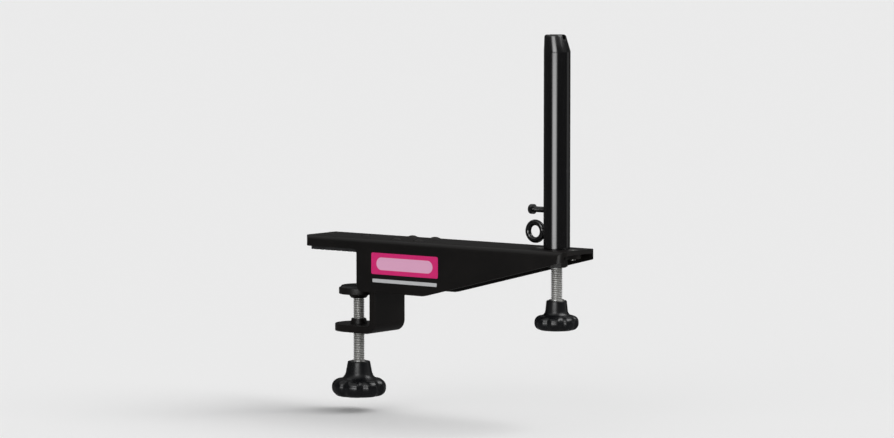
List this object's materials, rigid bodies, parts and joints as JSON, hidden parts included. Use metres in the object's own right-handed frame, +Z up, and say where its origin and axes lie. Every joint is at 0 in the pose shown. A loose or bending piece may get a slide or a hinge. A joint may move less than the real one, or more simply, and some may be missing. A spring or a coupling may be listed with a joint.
{
  "type": "table tennis net clamp",
  "caption": "Screw-on table tennis net clamp: folded steel arm, C-strap jaw with pressure foot, round net post on a height screw, two lobed knobs.",
  "frame": {"origin": "where the clamp screw's axis meets the top of the table, on the upper jaw pad's lower face", "axes": "+Z up along both screws, +Y in over the table towards the net's middle, +X along the table's edge"},
  "size_m": [0.04, 0.225, 0.258],
  "materials": {
    "arm_paint": "satin black powder coat",
    "strap_paint": "satin black powder coat",
    "post_gloss": "gloss black enamel",
    "wire_gloss": "gloss black enamel",
    "cap_plastic": "moulded black plastic",
    "knob_plastic": "moulded black plastic, fine grain",
    "pad_rubber": "moulded rubber",
    "zinc_steel": "bright zinc plate",
    "screw_zinc": "zinc plated thread"
  },
  "bodies": {
    "frame": {"arm_channel": "arm_paint", "lower_jaw_strap": "strap_paint", "strap_rivets": "strap_paint", "top_jaw_pad": "pad_rubber", "pad_rivets": "strap_paint", "clamp_nut": "strap_paint", "post_guide": "strap_paint", "guide_screws": "zinc_steel", "adjust_nut": "strap_paint"},
    "post": {"post_tube": "post_gloss", "post_cap": "cap_plastic", "thrust_plug": "zinc_steel", "plug_pin": "post_gloss", "cord_eye": "wire_gloss", "net_peg": "wire_gloss"},
    "height_adjuster": {"adjust_screw": "screw_zinc", "adjust_knob": "knob_plastic", "adjust_knob_insert": "zinc_steel", "adjust_circlip": "zinc_steel"},
    "pressure_foot": {"pressure_cup": "strap_paint", "pressure_rubber": "pad_rubber"},
    "clamp_spindle": {"clamp_screw": "screw_zinc", "clamp_knob": "knob_plastic", "clamp_knob_insert": "zinc_steel", "clamp_circlip": "zinc_steel"}
  },
  "joints": [
    {"name": "foot_travel", "type": "slide", "parent": "frame", "child": "pressure_foot", "axis": [0, 0, 1], "range_m": [-0.01, 0.0175]},
    {"name": "clamp_turn", "type": "hinge", "parent": "pressure_foot", "child": "clamp_spindle", "pos_m": [0, 0, -0.079], "axis": [0, 0, 1], "range_deg": [-2890, 5050]},
    {"name": "post_lift", "type": "slide", "parent": "frame", "child": "post", "axis": [0, 0, 1], "range_m": [0, 0.01375]},
    {"name": "adjust_turn", "type": "hinge", "parent": "post", "child": "height_adjuster", "pos_m": [0, -0.172, -0.025], "axis": [0, 0, 1], "range_deg": [-5, 3970]}
  ],
  "couplings": [
    {"joint": "clamp_turn", "follows": "foot_travel", "rad_per_m": 5026.5},
    {"joint": "adjust_turn", "follows": "post_lift", "rad_per_m": 5026.5}
  ]
}
